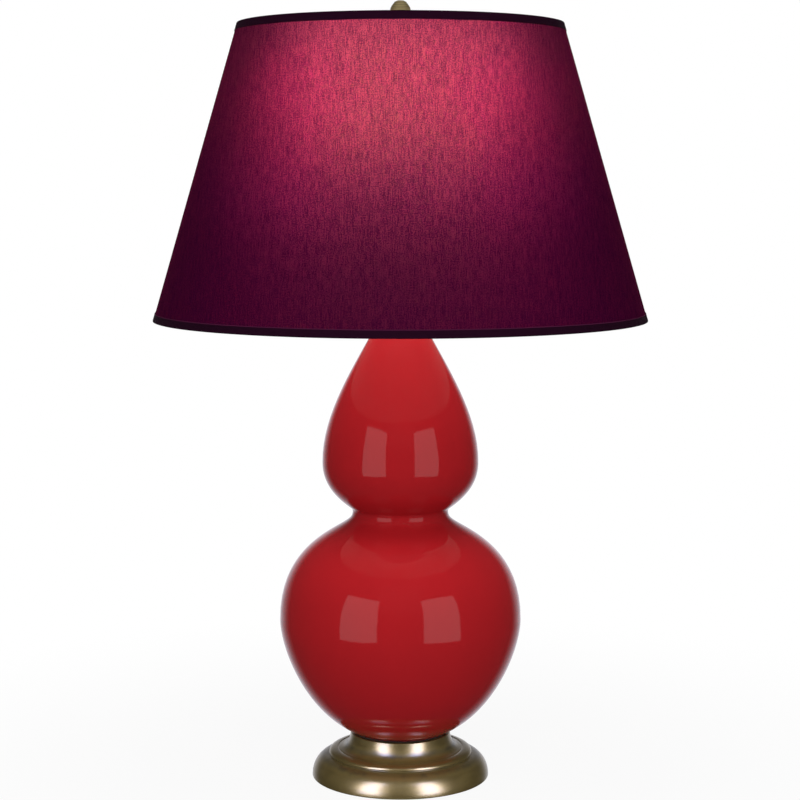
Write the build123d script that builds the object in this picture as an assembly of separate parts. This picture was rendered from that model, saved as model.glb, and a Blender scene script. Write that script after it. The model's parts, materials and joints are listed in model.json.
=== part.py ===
from build123d import *
import os
from math import cos, hypot, radians, sin

# Double gourd table lamp with a cone shade.
# Millimetres. Z is up, the origin is the middle of the underside and -Y is the front.
# The pieces are stacked on one threaded rod, so every height is worked out from the piece below.

# ---------------------------------------------------------------- driving sizes
# Foot: a hollow brass casting with a felt disc let into its underside.
felt_radius = 86.0
felt_thickness = 2.5
foot_lift = 1.0             # brass rim above the table
foot_radius = 90.6
foot_edge = 1.0             # rounding of the lower and the upper edge
bell_radius = 72.5          # where the bell ends under the bead
bell_height = 22.5
bead_radius = 73.3
bead_inner_radius = 64.2
bead_height = 6.3
groove_depth = 1.3
collar_radius = 51.0
collar_height = 16.5
foot_wall = 4.0
web_thickness = 4.0

# Cord gland in the back wall of the foot.
gland_height = 9.0
gland_bore_radius = 3.2
gland_barrel_radius = 4.8
gland_flange_radius = 6.0
gland_flange_thickness = 1.6
gland_flat_depth = 3.6      # flat spot face cut into the bell
gland_length = 9.0

# Threaded rod and what it clamps together.
rod_radius = 4.8
rod_bore_radius = 3.3
rod_tail = 4.0              # thread below the bottom nut
nut_flats = 14.3
nut_thickness = 4.5
washer_radius = 19.0
washer_thickness = 1.5
gasket_thickness = 1.2
gasket_radius = 46.7

# Gourd: glazed earthenware, drawn from five stations of radius and height.
gourd_wall = 6.0
base_radius = 47.5
belly_radius = 123.1
belly_height = 117.2        # of the widest ring above the base
waist_radius = 48.6
waist_height = 227.7
waist_rounding_low = 10.4
waist_rounding_high = 5.6
head_radius = 79.2
head_height = 278.9
mouth_radius = 20.0
gourd_height = 427.5
gourd_hole_radius = 9.0

# Brass cap and neck on top of the gourd.
vase_cap_radius = 22.0
vase_cap_thickness = 7.0
neck_radius = 7.5
neck_length = 37.0
neck_bead_radius = 11.0

# Harp: a saddle on the rod, a wire loop, two ferrules and a swivelling seat.
saddle_span = 36.0          # middle of each post from the axis
saddle_width = 12.0
saddle_thickness = 1.6
saddle_rise = 21.0
post_length = 10.0
harp_wire_radius = 1.8
harp_height = 228.3         # from the top of the saddle to the top of the seat
harp_half_width = 51.0
harp_straight = 36.0
harp_boss_radius = 7.0
harp_boss_thickness = 3.4
ferrule_radius = 4.0
ferrule_length = 18.0
seat_radius = 11.0
seat_thickness = 2.5
rivet_radius = 4.6
rivet_thickness = 1.6
rivet_shank_radius = 2.6
stud_radius = 3.1
stud_length = 15.0

# Socket with a turn knob.
socket_cap_radius = 18.9
socket_cap_height = 20.0
socket_hub_radius = 7.0
socket_hub_height = 6.0
shell_radius = 17.6
shell_height = 46.0
shell_inset = 5.0           # how far the shell reaches down into the cap
brass_sheet = 0.6
liner_card = 0.8
interior_radius = 15.4
interior_height = 22.0
interior_lift = 9.5         # of the insulating block above the saddle
screw_shell_radius = 13.9
screw_shell_height = 30.0
contact_radius = 4.0
contact_thickness = 1.4
terminal_radius = 3.0
terminal_head = 1.6
terminal_shank_radius = 1.5
terminal_shank = 5.0
terminal_drop = 14.0        # of the screws below the top of the block
switch_drop = 6.0           # of the knob's shaft below the top of the block
switch_shaft_radius = 1.6
switch_shaft_inside = 9.0
knob_radius = 6.2
knob_tip_radius = 5.2
knob_length = 15.0
knob_gap = 4.0              # between the shell and the knob
knob_bore_depth = 10.0
knob_flutes = 16
knob_flute_radius = 0.55

# Bulb with a 26 mm screw cap.
bulb_cap_radius = 13.1
bulb_cap_height = 25.0
bulb_cap_sheet = 0.5
bulb_insulator_height = 4.0
bulb_tip_radius = 4.2
bulb_tip_height = 1.6
bulb_neck_radius = 12.3
bulb_neck_inset = 7.0       # glass that is cemented inside the cap
bulb_radius = 33.5
bulb_glass_height = 107.0   # above the rim of the cap
bulb_glass_wall = 0.9
bulb_stem_radius = 7.0
bulb_stem_height = 38.0
filament_radius = 0.5
filament_span = 11.0
filament_rise = 6.0

# Shade: fabric on a stiff liner, folded tape on both edges, a recessed spider and a lower ring.
shade_top_radius = 162.2
shade_bottom_radius = 248.3
shade_height = 294.0
spider_rise = 11.1          # from the seat up to the top edge
trim_thickness = 0.6
trim_height = 8.2
trim_fold = 3.0             # height of the tape inside the shade
fabric_thickness = 0.5
liner_thickness = 0.9
frame_wire_radius = 1.6
spider_washer_radius = 13.0
spider_washer_thickness = 1.6
spider_arms = 3

# Finial: a turned knob with stepped rings.
finial_height = 31.9
finial_foot_radius = 6.4
finial_foot_height = 3.0
finial_neck_radius = 4.9
finial_dome_radius = 10.2
finial_dome_height = 10.5
finial_tip_radius = 4.6
finial_rings = 5
finial_ring_groove = 0.35
finial_wall = 3.0

# Clearances.
hole_clearance = 0.3        # pieces of one body that pass through each other
running_fit = 0.06          # a piece that turns or slides on another
rest_gap = 0.1              # flat faces of two bodies that rest on each other
swivel_gap = 0.3            # between the swivel and the harp's boss
glue_gap = 0.05             # between the glued layers of the shade

# ---------------------------------------------------------------- heights
foot_height = bell_height + bead_height + collar_height + foot_lift
gourd_base = foot_height + gasket_thickness
gourd_top = gourd_base + gourd_height
neck_base = gourd_top + vase_cap_thickness
top_nut_base = neck_base + neck_length
saddle_base = top_nut_base + nut_thickness
saddle_top = saddle_base + saddle_thickness
web_underside = foot_height - web_thickness
bottom_nut_top = web_underside - washer_thickness
rod_bottom = bottom_nut_top - nut_thickness - rod_tail

post_base = saddle_top + saddle_rise
post_top = post_base + post_length
harp_foot = post_top + rest_gap
seat_top = saddle_top + harp_height
seat_base = seat_top - seat_thickness
boss_top = seat_base - swivel_gap
boss_base = boss_top - harp_boss_thickness

shell_base = saddle_top + socket_cap_height - shell_inset
interior_base = saddle_top + interior_lift
interior_top = interior_base + interior_height
rod_top = interior_base - rest_gap
switch_height = interior_top - switch_drop
terminal_height = interior_top - terminal_drop
contact_top = interior_top + contact_thickness

tip_base = contact_top + rest_gap
insulator_base = tip_base + bulb_tip_height
bulb_cap_base = insulator_base + bulb_insulator_height
bulb_cap_top = bulb_cap_base + bulb_cap_height
bulb_neck_base = bulb_cap_top - bulb_neck_inset
bulb_top = bulb_cap_top + bulb_glass_height

washer_base = seat_top + rest_gap
washer_top = washer_base + spider_washer_thickness
shade_top = washer_base + spider_rise
shade_bottom = shade_top - shade_height
lamp_height = washer_top + finial_height


# ---------------------------------------------------------------- helpers
def outline(*points):
    """A closed face in the XZ plane from corners given as (radius, height)."""
    return make_face(Polyline(*[(r, 0, z) for r, z in points], close=True))


def line(start, end):
    return Line((start[0], 0, start[1]), (end[0], 0, end[1]))


def curve(start, start_pull, end_pull, end):
    """A smooth stretch of an outline between two points, pulled towards two others."""
    return Bezier(*[(r, 0, z) for r, z in (start, start_pull, end_pull, end)])


def turned(*edges):
    """A turned solid from the edges that close its half section."""
    return revolve(make_face(list(edges)), Axis.Z)


def spun(*points):
    """A turned solid from the corners of its half section."""
    return revolve(outline(*points), Axis.Z)


def tube(outer, inner, low, high):
    return spun((inner, low), (outer, low), (outer, high), (inner, high))


def disc(radius, low, high):
    return Pos(0, 0, low) * Cylinder(radius, high - low, align=(Align.CENTER, Align.CENTER, Align.MIN))


def bar(start, end, radius):
    """A round bar between two points."""
    direction = Vector(*end) - Vector(*start)
    plane = Plane(origin=start, z_dir=direction)
    return plane * Cylinder(radius, direction.length, align=(Align.CENTER, Align.CENTER, Align.MIN))


def hex_nut(low, high):
    nut = Pos(0, 0, low) * extrude(RegularPolygon(nut_flats / 2, 6, major_radius=False), high - low)
    return nut - disc(rod_radius + hole_clearance, low - 1, high + 1)


# ---------------------------------------------------------------- foot
def bell_curve():
    """The bell's outer outline, from the rounded rim up to the groove under the bead."""
    low = foot_lift + foot_edge
    high = foot_lift + bell_height
    rise = 0.62 * (high - low)
    reach = 0.5 * (foot_radius - bell_radius)
    return curve((foot_radius, low), (foot_radius, low + rise),
                 (bell_radius + reach, high), (bell_radius, high))


def foot():
    rim = foot_lift
    low = rim + foot_edge
    bell_top = rim + bell_height
    groove = (bead_radius - groove_depth, bell_top + 0.3 * groove_depth)
    bead_low = (bead_radius, bell_top + 0.3 * bead_height)
    bead_top = (bead_inner_radius, bell_top + bead_height)
    ledge = (bead_inner_radius - groove_depth, bell_top + bead_height)
    flare = bead_inner_radius - groove_depth - collar_radius
    throat = (collar_radius, foot_height - foot_edge)
    inner = foot_radius - foot_wall
    felt_seat = felt_radius + hole_clearance
    shelf = felt_radius - 2.0
    ceiling = bell_top - foot_wall
    edges = [
        line((felt_seat, rim), (foot_radius - foot_edge, rim)),
        line((foot_radius - foot_edge, rim), (foot_radius, low)),
        bell_curve(),
        line((bell_radius, bell_top), groove),
        line(groove, bead_low),
        curve(bead_low, (bead_radius, bead_low[1] + 0.4 * bead_height),
              (bead_inner_radius + 0.5 * (bead_radius - bead_inner_radius), bead_top[1]), bead_top),
        line(bead_top, ledge),
        curve(ledge, (ledge[0] - 0.62 * flare, ledge[1]),
              (collar_radius + 0.1 * flare, throat[1] - 0.55 * collar_height), throat),
        line(throat, (collar_radius - foot_edge, foot_height)),
        line((collar_radius - foot_edge, foot_height), (rod_radius + hole_clearance, foot_height)),
        line((rod_radius + hole_clearance, foot_height), (rod_radius + hole_clearance, web_underside)),
        line((rod_radius + hole_clearance, web_underside), (collar_radius - foot_wall, web_underside)),
        line((collar_radius - foot_wall, web_underside), (collar_radius - foot_wall, ledge[1])),
        line((collar_radius - foot_wall, ledge[1]), (ledge[0] - foot_wall, bell_top)),
        line((ledge[0] - foot_wall, bell_top), (bell_radius, ceiling)),
        line((bell_radius, ceiling), (inner - foot_wall, 0.5 * ceiling)),
        line((inner - foot_wall, 0.5 * ceiling), (shelf, felt_thickness)),
        line((shelf, felt_thickness), (felt_seat, felt_thickness)),
        line((felt_seat, felt_thickness), (felt_seat, rim)),
    ]
    casting = turned(*edges)
    flat = foot_radius - gland_flat_depth
    spot = bar((0, flat, gland_height), (0, foot_radius + 1, gland_height),
               gland_flange_radius + hole_clearance)
    hole = bar((0, foot_radius - 20, gland_height), (0, foot_radius + 1, gland_height),
               gland_barrel_radius + hole_clearance)
    return casting - spot - hole


def foot_felt():
    return disc(felt_radius, 0, felt_thickness)


def cord_gland():
    flat = foot_radius - gland_flat_depth
    outside = flat + gland_flange_thickness
    flange = bar((0, flat, gland_height), (0, outside, gland_height), gland_flange_radius)
    barrel = bar((0, outside - gland_length, gland_height), (0, outside, gland_height),
                 gland_barrel_radius)
    bore = bar((0, outside - gland_length - 1, gland_height), (0, outside + 1, gland_height),
               gland_bore_radius)
    return fillet((flange + barrel).edges().group_by(Axis.Y)[-1], 0.6) - bore


# ---------------------------------------------------------------- rod and body
def lamp_rod():
    return tube(rod_radius, rod_bore_radius, rod_bottom, rod_top)


def bottom_nut():
    return hex_nut(bottom_nut_top - nut_thickness, bottom_nut_top)


def bottom_washer():
    return tube(washer_radius, rod_radius + hole_clearance, bottom_nut_top, web_underside)


def seat_gasket():
    return tube(gasket_radius, rod_radius + hole_clearance, foot_height, gourd_base)


def gourd_stretches(inset):
    """The outer outline from base to mouth, or one parallel to it at a distance inside."""
    belly = (belly_radius - inset, gourd_base + belly_height)
    waist = (waist_radius - inset, gourd_base + waist_height)
    head = (head_radius - inset, gourd_base + head_height)
    low_round = waist_rounding_low + inset
    high_round = waist_rounding_high + inset
    low_turn = radians(41.5)
    high_turn = radians(54.4)
    base_turn = radians(66.0)
    mouth_turn = radians(23.8)
    start = (base_radius - inset * cos(base_turn), gourd_base + inset)
    end = (mouth_radius - inset, gourd_top - inset)
    below = (waist[0] + low_round * (1 - cos(low_turn)), waist[1] - low_round * sin(low_turn))
    above = (waist[0] + high_round * (1 - cos(high_turn)), waist[1] + high_round * sin(high_turn))
    shrink = 1 - inset / belly_radius
    base_pull = 0.486 * belly_height * shrink
    belly_pull_down = 0.238 * belly_height * shrink
    belly_pull_up = 0.699 * (waist_height - belly_height) * shrink
    below_pull = 0.156 * (waist_height - belly_height) * shrink
    above_pull = 0.501 * (head_height - waist_height) * shrink
    head_pull_down = 0.346 * (head_height - waist_height) * shrink
    head_pull_up = 0.374 * (gourd_height - head_height) * shrink
    mouth_pull = 0.269 * (gourd_height - head_height) * shrink
    return [
        curve(start, (start[0] + base_pull * sin(base_turn), start[1] + base_pull * cos(base_turn)),
              (belly[0], belly[1] - belly_pull_down), belly),
        curve(belly, (belly[0], belly[1] + belly_pull_up),
              (below[0] + below_pull * sin(low_turn), below[1] - below_pull * cos(low_turn)), below),
        ThreePointArc((below[0], 0, below[1]),
                      (waist[0] + low_round * (1 - cos(low_turn / 2)), 0,
                       waist[1] - low_round * sin(low_turn / 2)),
                      (waist[0], 0, waist[1])),
        ThreePointArc((waist[0], 0, waist[1]),
                      (waist[0] + high_round * (1 - cos(high_turn / 2)), 0,
                       waist[1] + high_round * sin(high_turn / 2)),
                      (above[0], 0, above[1])),
        curve(above, (above[0] + above_pull * sin(high_turn), above[1] + above_pull * cos(high_turn)),
              (head[0], head[1] - head_pull_down), head),
        curve(head, (head[0], head[1] + head_pull_up),
              (end[0] + mouth_pull * sin(mouth_turn), end[1] - mouth_pull * cos(mouth_turn)), end),
    ], start, end


def gourd_solid(inset):
    stretches, start, end = gourd_stretches(inset)
    return turned(line((0, start[1]), start), *stretches, line(end, (0, end[1])),
                  line((0, end[1]), (0, start[1])))


def gourd_body():
    hole = disc(gourd_hole_radius, gourd_base - 1, gourd_top + 1)
    return gourd_solid(0) - gourd_solid(gourd_wall) - hole


def vase_cap():
    low, high = gourd_top, gourd_top + vase_cap_thickness
    hole = rod_radius + hole_clearance
    lip = 0.35 * vase_cap_thickness
    return turned(
        line((hole, low), (vase_cap_radius, low)),
        line((vase_cap_radius, low), (vase_cap_radius, low + lip)),
        curve((vase_cap_radius, low + lip), (vase_cap_radius - lip, low + 2 * lip),
              (neck_radius + 2 * lip, high - lip), (neck_radius + lip, high)),
        line((neck_radius + lip, high), (hole, high)),
        line((hole, high), (hole, low)))


def neck_tube():
    high = neck_base + neck_length
    middle = neck_base + neck_length / 2
    half = neck_bead_radius - neck_radius
    hole = rod_radius + hole_clearance
    return turned(
        line((hole, neck_base), (neck_radius, neck_base)),
        line((neck_radius, neck_base), (neck_radius, middle - half)),
        ThreePointArc((neck_radius, 0, middle - half), (neck_bead_radius, 0, middle),
                      (neck_radius, 0, middle + half)),
        line((neck_radius, middle + half), (neck_radius, high)),
        line((neck_radius, high), (hole, high)),
        line((hole, high), (hole, neck_base)))


def top_nut():
    return hex_nut(top_nut_base, saddle_base)


# ---------------------------------------------------------------- harp
def harp_saddle():
    """A strip bent up at both ends, with a round post on each end for the harp's leg."""
    half = saddle_thickness / 2
    middle = saddle_base + half
    bend = 4 * saddle_thickness
    path = FilletPolyline((-saddle_span, 0, post_base), (-saddle_span, 0, middle),
                          (saddle_span, 0, middle), (saddle_span, 0, post_base), radius=bend)
    section = Plane(origin=(-saddle_span, 0, post_base), x_dir=(0, 1, 0), z_dir=(0, 0, -1))
    strip = sweep(section * Rectangle(saddle_width, saddle_thickness), path=path)
    for side in (-1, 1):
        foot_of_post = (side * saddle_span, 0, post_base - saddle_width / 2)
        strip += bar(foot_of_post, (side * saddle_span, 0, post_top), harp_wire_radius)
    return strip - disc(rod_radius + hole_clearance, saddle_base - 1, saddle_top + 1)


def harp_loop():
    """One bent wire, flattened at the top into a boss that carries the swivel."""
    crown = boss_base + harp_boss_thickness / 2
    inside = crown - harp_foot
    right = [(saddle_span, harp_foot), (saddle_span, harp_foot + harp_straight),
             (harp_half_width, harp_foot + 0.55 * inside),
             (0.86 * harp_half_width, harp_foot + 0.84 * inside),
             (0.42 * harp_half_width, crown)]
    left = [(-r, z) for r, z in reversed(right)]
    points = [(r, 0, z) for r, z in right + left]
    path = FilletPolyline(*points, radius=[90, 110, 34, 20, 20, 34, 110, 90])
    section = Plane(origin=points[0], z_dir=(0, 0, 1))
    wire = sweep(section * Circle(harp_wire_radius), path=path)
    boss = disc(harp_boss_radius, boss_base, boss_top)
    return wire + boss - disc(rivet_shank_radius + running_fit, boss_base - 1, boss_top + 1)


def ferrule(side):
    """A loose sleeve over the joint between the saddle's post and the harp's leg."""
    low = post_base + rest_gap
    sleeve = tube(ferrule_radius, harp_wire_radius + running_fit, low, low + ferrule_length)
    sleeve = chamfer(sleeve.edges().filter_by(GeomType.CIRCLE).sort_by(SortBy.RADIUS)[-2:], 0.5)
    return Pos(side * saddle_span, 0, 0) * sleeve


def harp_seat():
    """The swivel: a rivet head under the boss, a round seat above it and a stud for the finial."""
    rivet_top = boss_base - swivel_gap
    rivet_low = rivet_top - rivet_thickness
    seat = spun((0, rivet_low), (rivet_radius, rivet_low), (rivet_radius, rivet_top),
                (rivet_shank_radius, rivet_top), (rivet_shank_radius, seat_base),
                (seat_radius, seat_base), (seat_radius, seat_top), (stud_radius, seat_top),
                (stud_radius, seat_top + stud_length), (0, seat_top + stud_length))
    return seat


# ---------------------------------------------------------------- socket
def socket_cap():
    """A spun brass cup with a threaded hub that screws on the rod."""
    high = saddle_top + socket_cap_height
    wall = brass_sheet
    shoulder = 0.55 * socket_cap_height
    hole = rod_radius + hole_clearance
    hub = socket_hub_radius
    return spun((hole, saddle_top), (hub + 2, saddle_top), (socket_cap_radius, saddle_top + shoulder),
                (socket_cap_radius, high), (socket_cap_radius - wall, high),
                (socket_cap_radius - wall, saddle_top + shoulder + wall),
                (hub + 2, saddle_top + 2 * wall), (hub, saddle_top + 2 * wall),
                (hub, saddle_top + socket_hub_height), (hole, saddle_top + socket_hub_height))


def front_hole(radius):
    """The way through the socket's wall for the knob's shaft, towards the front."""
    return bar((0, -(interior_radius - switch_shaft_inside), switch_height),
               (0, -2 * socket_cap_radius, switch_height), radius)


def socket_shell():
    shell = tube(shell_radius, shell_radius - brass_sheet, shell_base, shell_base + shell_height)
    return shell - front_hole(switch_shaft_radius + 4 * hole_clearance)


def socket_liner():
    outer = shell_radius - brass_sheet - glue_gap
    card = tube(outer, outer - liner_card, shell_base, shell_base + shell_height)
    return card - front_hole(switch_shaft_radius + 3 * hole_clearance)


def socket_interior():
    """The insulating block that holds the switch, the screw shell and the terminals."""
    block = disc(interior_radius, interior_base, interior_top)
    flat = interior_radius - terminal_head - hole_clearance
    for side in (-1, 1):
        pocket = Pos(side * (flat + interior_radius), 0, terminal_height)
        block -= pocket * Box(2 * interior_radius, 3 * terminal_radius, 3 * terminal_radius)
        block -= bar((side * (flat - terminal_shank), 0, terminal_height),
                     (side * interior_radius, 0, terminal_height), terminal_shank_radius)
    return block - front_hole(switch_shaft_radius + running_fit)


def screw_shell():
    return tube(screw_shell_radius, bulb_cap_radius + hole_clearance,
                interior_top, interior_top + screw_shell_height)


def contact_tab():
    return disc(contact_radius, interior_top, contact_top)


def terminal_screws():
    flat = interior_radius - terminal_head - hole_clearance
    screws = []
    for side in (-1, 1):
        head = bar((side * flat, 0, terminal_height), (side * (flat + terminal_head), 0, terminal_height),
                   terminal_radius)
        shank = bar((side * (flat - terminal_shank), 0, terminal_height),
                    (side * flat, 0, terminal_height), terminal_shank_radius)
        screws.append(head + shank)
    return Compound(children=screws)


def knob_back():
    """Where the knob begins, in front of the cap that hoods the shell."""
    return -(socket_cap_radius + knob_gap)


def switch_shaft():
    inner = -(interior_radius - switch_shaft_inside + rest_gap)
    return bar((0, inner, switch_height), (0, knob_back() - knob_bore_depth, switch_height),
               switch_shaft_radius)


def switch_knob():
    back = knob_back()
    body = Plane(origin=(0, back, switch_height), z_dir=(0, -1, 0)) * Cone(
        knob_radius, knob_tip_radius, knob_length, align=(Align.CENTER, Align.CENTER, Align.MIN))
    body = chamfer(body.edges().group_by(Axis.Y)[0], 0.8)
    for count in range(knob_flutes):
        turn = radians(360 * count / knob_flutes)
        back_point = (knob_radius * cos(turn), back + 1, switch_height + knob_radius * sin(turn))
        front_point = (knob_tip_radius * cos(turn), back - knob_length - 1,
                       switch_height + knob_tip_radius * sin(turn))
        body -= bar(back_point, front_point, knob_flute_radius)
    bore = bar((0, back + 1, switch_height), (0, back - knob_bore_depth, switch_height),
               switch_shaft_radius)
    return body - bore


# ---------------------------------------------------------------- bulb
def bulb_cap():
    wall = bulb_cap_radius - bulb_cap_sheet
    return spun((0, bulb_cap_base), (bulb_cap_radius, bulb_cap_base), (bulb_cap_radius, bulb_cap_top),
                (wall, bulb_cap_top), (wall, bulb_cap_base + bulb_cap_sheet),
                (0, bulb_cap_base + bulb_cap_sheet))


def bulb_insulator():
    return spun((0, insulator_base), (bulb_tip_radius + 1, insulator_base),
                (bulb_cap_radius - 1, bulb_cap_base), (0, bulb_cap_base))


def bulb_contact():
    return disc(bulb_tip_radius, tip_base, insulator_base)


def bulb_stretches(inset):
    """The pear-shaped outline of the glass, from the neck to the crown."""
    neck = (bulb_neck_radius - inset, bulb_neck_base)
    throat = (bulb_neck_radius - inset, bulb_cap_top)
    crown = (0, bulb_top - inset)
    wide = (bulb_radius - inset, bulb_top - bulb_radius)
    reach = 0.552 * (bulb_radius - inset)
    rise = wide[1] - throat[1]
    return [
        line(neck, throat),
        curve(throat, (throat[0], throat[1] + 0.36 * rise), (wide[0], wide[1] - 0.42 * rise), wide),
        curve(wide, (wide[0], wide[1] + reach), (reach, crown[1]), crown),
    ], neck, crown


def bulb_glass():
    outer, outer_neck, outer_crown = bulb_stretches(0)
    inner, inner_neck, inner_crown = bulb_stretches(bulb_glass_wall)
    return turned(*outer, line(outer_crown, inner_crown), *inner, line(inner_neck, outer_neck))


def bulb_stem():
    """The glass stem inside the bulb, standing on the floor of the cap."""
    low = bulb_cap_base + bulb_cap_sheet
    high = bulb_cap_top + bulb_stem_height
    return spun((0, low), (bulb_stem_radius, low), (bulb_stem_radius, bulb_cap_top),
                (bulb_stem_radius / 2, high), (0, high))


def bulb_filament():
    """Two support wires with the filament stretched between them."""
    low = bulb_cap_top + bulb_stem_height + filament_radius
    high = low + filament_rise
    path = FilletPolyline((-bulb_stem_radius / 4, 0, low), (-filament_span, 0, high),
                          (filament_span, 0, high), (bulb_stem_radius / 4, 0, low),
                          radius=2 * filament_radius)
    section = Plane(origin=path @ 0, z_dir=path % 0)
    return sweep(section * Circle(filament_radius), path=path)


# ---------------------------------------------------------------- shade
shade_slope = (shade_bottom_radius - shade_top_radius) / shade_height
fabric_out = trim_thickness
liner_out = fabric_out + fabric_thickness + glue_gap
inside_out = liner_out + liner_thickness
ring_height_top = shade_top - trim_fold - frame_wire_radius - glue_gap
ring_height_bottom = shade_bottom + trim_fold + frame_wire_radius + glue_gap
ring_out = inside_out + frame_wire_radius * hypot(1, shade_slope) + glue_gap


def cone_radius(height, depth):
    """Radius of the cone at a height, at a depth inside the outermost face."""
    return shade_top_radius + (shade_top - height) * shade_slope - depth


def cone_layer(near, far, low, high):
    return spun((cone_radius(low, near), low), (cone_radius(high, near), high),
                (cone_radius(high, far), high), (cone_radius(low, far), low))


def edge_tape(edge, inward):
    """Tape folded over an edge; inward is the height step from that edge into the shade."""
    outside_end = edge + inward * trim_height
    inside_end = edge + inward * trim_fold
    fold = edge + inward * trim_thickness
    near, far = fabric_out, inside_out + glue_gap
    back = far + trim_thickness
    return spun((cone_radius(edge, 0), edge), (cone_radius(outside_end, 0), outside_end),
                (cone_radius(outside_end, near), outside_end), (cone_radius(fold, near), fold),
                (cone_radius(fold, far), fold), (cone_radius(inside_end, far), inside_end),
                (cone_radius(inside_end, back), inside_end), (cone_radius(edge, back), edge))


def shade_fabric():
    return cone_layer(fabric_out + glue_gap, fabric_out + fabric_thickness,
                      shade_bottom + trim_thickness, shade_top - trim_thickness)


def shade_liner():
    return cone_layer(liner_out, inside_out,
                      shade_bottom + trim_thickness, shade_top - trim_thickness)


def wire_ring(height):
    return Pos(0, 0, height) * Torus(cone_radius(height, ring_out), frame_wire_radius)


def shade_spider():
    """The top ring, and arms that run down to a washer set below the top edge."""
    spider = wire_ring(ring_height_top)
    spider += disc(spider_washer_radius, washer_base, washer_top)
    ring = cone_radius(ring_height_top, ring_out)
    start = spider_washer_radius - 3 * frame_wire_radius
    arm_low = washer_base + frame_wire_radius
    for count in range(spider_arms):
        turn = radians(-90 + 360 * count / spider_arms)
        spider += bar((start * cos(turn), start * sin(turn), arm_low),
                      (ring * cos(turn), ring * sin(turn), ring_height_top), frame_wire_radius)
    spider -= disc(spider_washer_radius, washer_base - 2 * frame_wire_radius, washer_base)
    return spider - disc(stud_radius + running_fit, washer_base - 1, washer_top + 2 * frame_wire_radius)


def bottom_ring():
    return wire_ring(ring_height_bottom)


# ---------------------------------------------------------------- finial
def finial():
    """A foot, a slim neck and a dome cut with stepped rings, bored for the stud."""
    dome_base = lamp_height - finial_dome_height
    foot_top = washer_top + rest_gap + finial_foot_height
    neck_high = dome_base - finial_wall
    corners = [(0, washer_top + rest_gap), (finial_foot_radius, washer_top + rest_gap),
               (finial_foot_radius, foot_top), (finial_neck_radius, foot_top + 1),
               (finial_neck_radius, neck_high), (finial_dome_radius - 1, dome_base),
               (finial_dome_radius, dome_base + 1)]
    step = (finial_dome_height - 2) / finial_rings
    spread = finial_dome_radius - finial_tip_radius
    for count in range(finial_rings):
        height = dome_base + 1 + step * (count + 1)
        share = (count + 1) / finial_rings
        radius = finial_dome_radius - spread * share ** 1.6
        corners += [(radius, height - finial_ring_groove), (radius - finial_ring_groove, height)]
    corners += [(0.6 * finial_tip_radius, lamp_height), (0, lamp_height)]
    bore_top = seat_top + stud_length + 1
    return spun(*corners) - disc(stud_radius + running_fit, washer_base, bore_top)


# ---------------------------------------------------------------- writing
pieces = {
    "foot": foot(),
    "foot_felt": foot_felt(),
    "cord_gland": cord_gland(),
    "lamp_rod": lamp_rod(),
    "bottom_nut": bottom_nut(),
    "bottom_washer": bottom_washer(),
    "seat_gasket": seat_gasket(),
    "gourd_body": gourd_body(),
    "vase_cap": vase_cap(),
    "neck_tube": neck_tube(),
    "top_nut": top_nut(),
    "harp_saddle": harp_saddle(),
    "harp_loop": harp_loop(),
    "ferrule_left": ferrule(-1),
    "ferrule_right": ferrule(1),
    "harp_seat": harp_seat(),
    "socket_cap": socket_cap(),
    "socket_shell": socket_shell(),
    "socket_liner": socket_liner(),
    "socket_interior": socket_interior(),
    "screw_shell": screw_shell(),
    "contact_tab": contact_tab(),
    "terminal_screws": terminal_screws(),
    "switch_shaft": switch_shaft(),
    "switch_knob": switch_knob(),
    "bulb_cap": bulb_cap(),
    "bulb_insulator": bulb_insulator(),
    "bulb_contact": bulb_contact(),
    "bulb_stem": bulb_stem(),
    "bulb_filament": bulb_filament(),
    "bulb_glass": bulb_glass(),
    "shade_fabric": shade_fabric(),
    "shade_liner": shade_liner(),
    "top_trim": edge_tape(shade_top, -1),
    "bottom_trim": edge_tape(shade_bottom, 1),
    "shade_spider": shade_spider(),
    "bottom_ring": bottom_ring(),
    "finial": finial(),
}

os.makedirs("parts", exist_ok=True)
for name, solid in pieces.items():
    export_step(solid, f"parts/{name}.step")
print(f"{len(pieces)} nodes, lamp height {lamp_height:.1f} mm, shade {shade_bottom:.1f} to {shade_top:.1f} mm")
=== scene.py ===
# %% [markdown]
# # Dressing a double gourd table lamp
# The CAD model says where every piece of the lamp is, so it is loaded first and never moved.
# What the eye meets is then modelled again around it: the glazed gourd, the cast foot, the cloth
# shade with its folded tape, the card inside it, the finial and the felt. Every other piece keeps
# its CAD shape and gets a finish.

# %% Load the fixed frame
import json
import math

import bpy
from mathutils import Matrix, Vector, noise


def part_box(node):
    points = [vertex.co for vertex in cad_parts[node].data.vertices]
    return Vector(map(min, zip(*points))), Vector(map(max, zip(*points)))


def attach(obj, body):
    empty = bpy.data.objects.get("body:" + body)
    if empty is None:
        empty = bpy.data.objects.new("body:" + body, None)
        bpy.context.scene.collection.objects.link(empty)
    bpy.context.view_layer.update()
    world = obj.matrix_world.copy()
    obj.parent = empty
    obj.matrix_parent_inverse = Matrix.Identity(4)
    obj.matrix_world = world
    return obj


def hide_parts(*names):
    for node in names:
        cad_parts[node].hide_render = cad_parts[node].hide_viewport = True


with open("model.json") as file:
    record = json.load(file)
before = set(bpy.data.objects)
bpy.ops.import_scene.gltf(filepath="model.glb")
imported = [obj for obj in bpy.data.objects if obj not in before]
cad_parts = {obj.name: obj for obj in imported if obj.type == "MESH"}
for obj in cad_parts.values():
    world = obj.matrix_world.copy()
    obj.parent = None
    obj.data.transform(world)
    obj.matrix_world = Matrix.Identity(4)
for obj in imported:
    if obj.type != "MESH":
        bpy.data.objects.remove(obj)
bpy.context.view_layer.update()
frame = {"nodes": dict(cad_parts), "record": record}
mm = 0.001

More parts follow.
